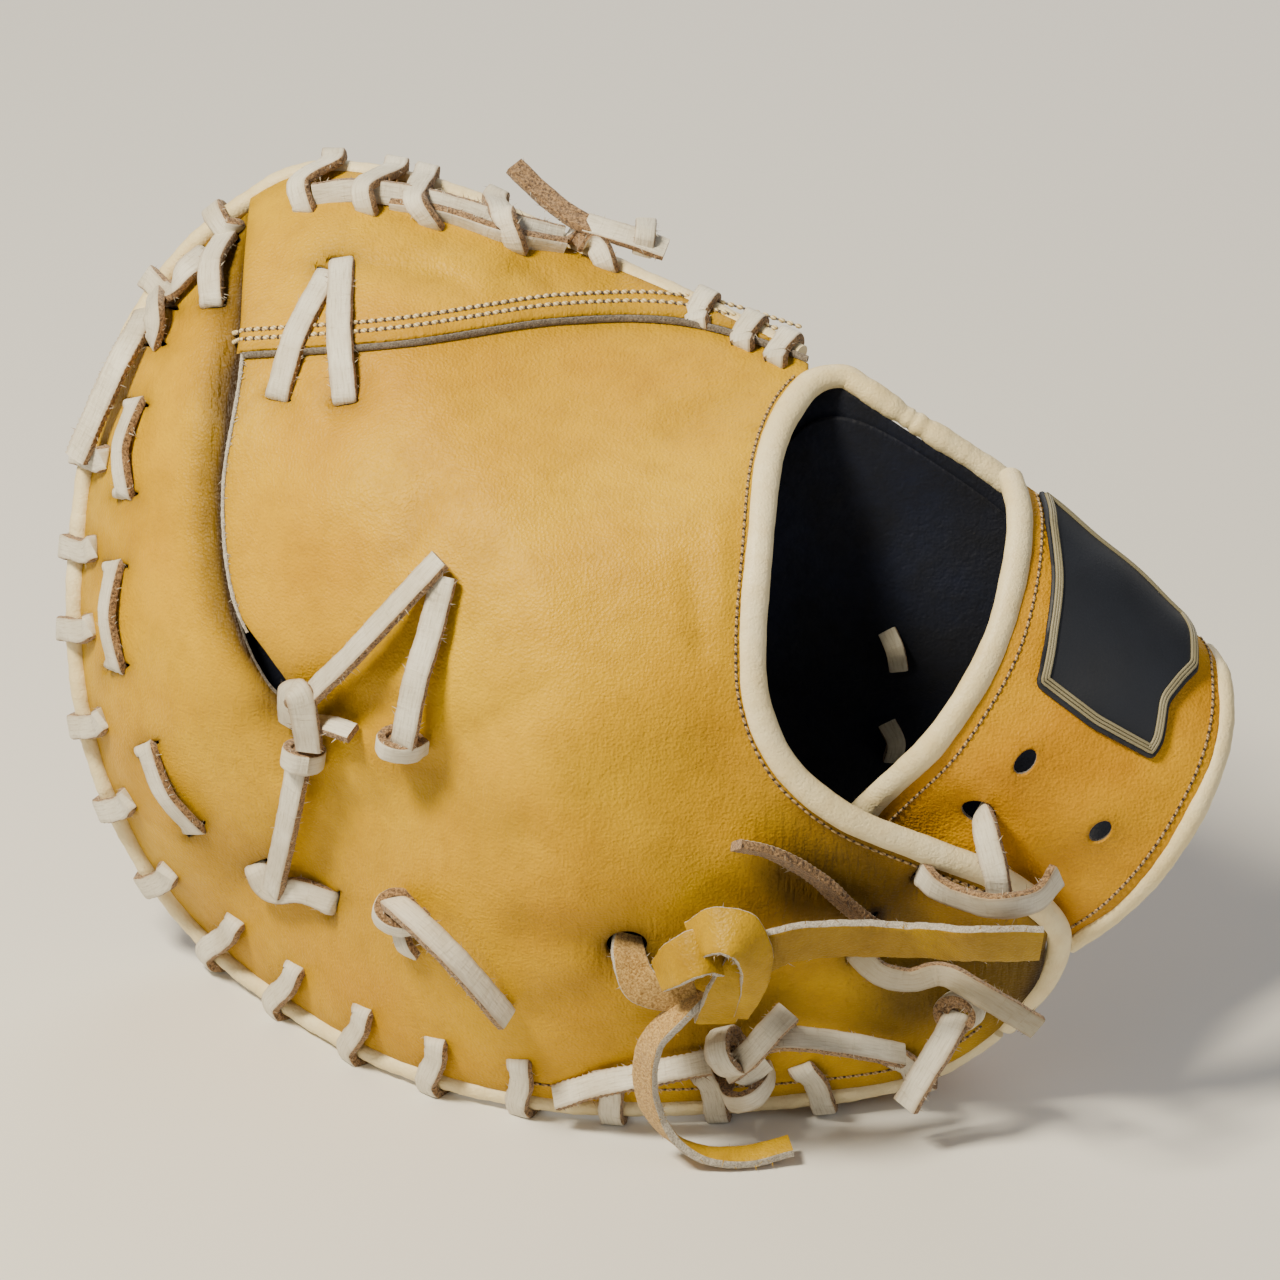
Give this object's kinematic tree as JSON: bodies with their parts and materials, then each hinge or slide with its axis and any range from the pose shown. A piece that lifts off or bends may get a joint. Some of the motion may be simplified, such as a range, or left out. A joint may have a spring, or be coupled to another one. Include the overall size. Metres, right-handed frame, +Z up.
{
  "type": "first base mitt",
  "caption": "Left-hand tan leather first base mitt with laced edge, hand opening, wrist strap and tied heel laces.",
  "frame": {"origin": "on the ground, at the middle of the mitt's bounding box in X and Y", "axes": "+X to the wrist, -Y out of the mitt's back, +Z up as the mitt stands on its little-finger edge"},
  "size_m": [0.306, 0.1796, 0.2195],
  "materials": {
    "tan_leather": "smooth full-grain, satin",
    "cream_binding": "rolled leather, satin",
    "rawhide_lace": "flat lace, grain side matt, suede side rough",
    "navy_lining": "soft lining leather, matt",
    "navy_rubber": "moulded rubber patch, matt"
  },
  "bodies": {
    "root": {"back_shell": "tan_leather", "crotch_cross_lace": "rawhide_lace", "crotch_lace": "rawhide_lace", "edge_binding": "cream_binding", "edge_loop_01": "rawhide_lace", "edge_loop_02": "rawhide_lace", "edge_loop_03": "rawhide_lace", "edge_loop_04": "rawhide_lace", "edge_loop_05": "rawhide_lace", "edge_loop_06": "rawhide_lace", "edge_loop_07": "rawhide_lace", "edge_loop_08": "rawhide_lace", "edge_loop_09": "rawhide_lace", "edge_loop_10": "rawhide_lace", "edge_loop_11": "rawhide_lace", "edge_loop_12": "rawhide_lace", "edge_loop_13": "rawhide_lace", "edge_loop_14": "rawhide_lace", "edge_loop_15": "rawhide_lace", "edge_loop_16": "rawhide_lace", "edge_loop_17": "rawhide_lace", "edge_loop_18": "rawhide_lace", "edge_loop_19": "rawhide_lace", "edge_loop_20": "rawhide_lace", "edge_loop_21": "rawhide_lace", "edge_loop_22": "rawhide_lace", "edge_loop_23": "rawhide_lace", "edge_loop_24": "rawhide_lace", "edge_loop_25": "rawhide_lace", "finger_lace_1": "rawhide_lace", "finger_lace_2": "rawhide_lace", "finger_lace_3": "rawhide_lace", "finger_tie_tail": "rawhide_lace", "finger_tip_lace": "rawhide_lace", "hand_lining": "navy_lining", "heel_big_knot": "rawhide_lace", "heel_cross_lace": "rawhide_lace", "heel_edge_lace": "rawhide_lace", "heel_middle_lace": "rawhide_lace", "heel_small_knot": "rawhide_lace", "heel_thong": "tan_leather", "heel_upper_tail": "rawhide_lace", "lower_knot_lace": "rawhide_lace", "opening_binding": "cream_binding", "palm_shell": "tan_leather", "rim_binding": "cream_binding", "strap_hand_binding": "cream_binding", "strap_lace": "rawhide_lace", "strap_patch": "navy_rubber", "strap_wrist_binding": "cream_binding", "thumb_edge_lace": "rawhide_lace", "thumb_lace": "rawhide_lace", "thumb_panel": "tan_leather", "thumb_tie": "rawhide_lace", "upper_knot_lace": "rawhide_lace", "web_panel": "tan_leather", "wrist_strap": "tan_leather"}
  },
  "joints": []
}
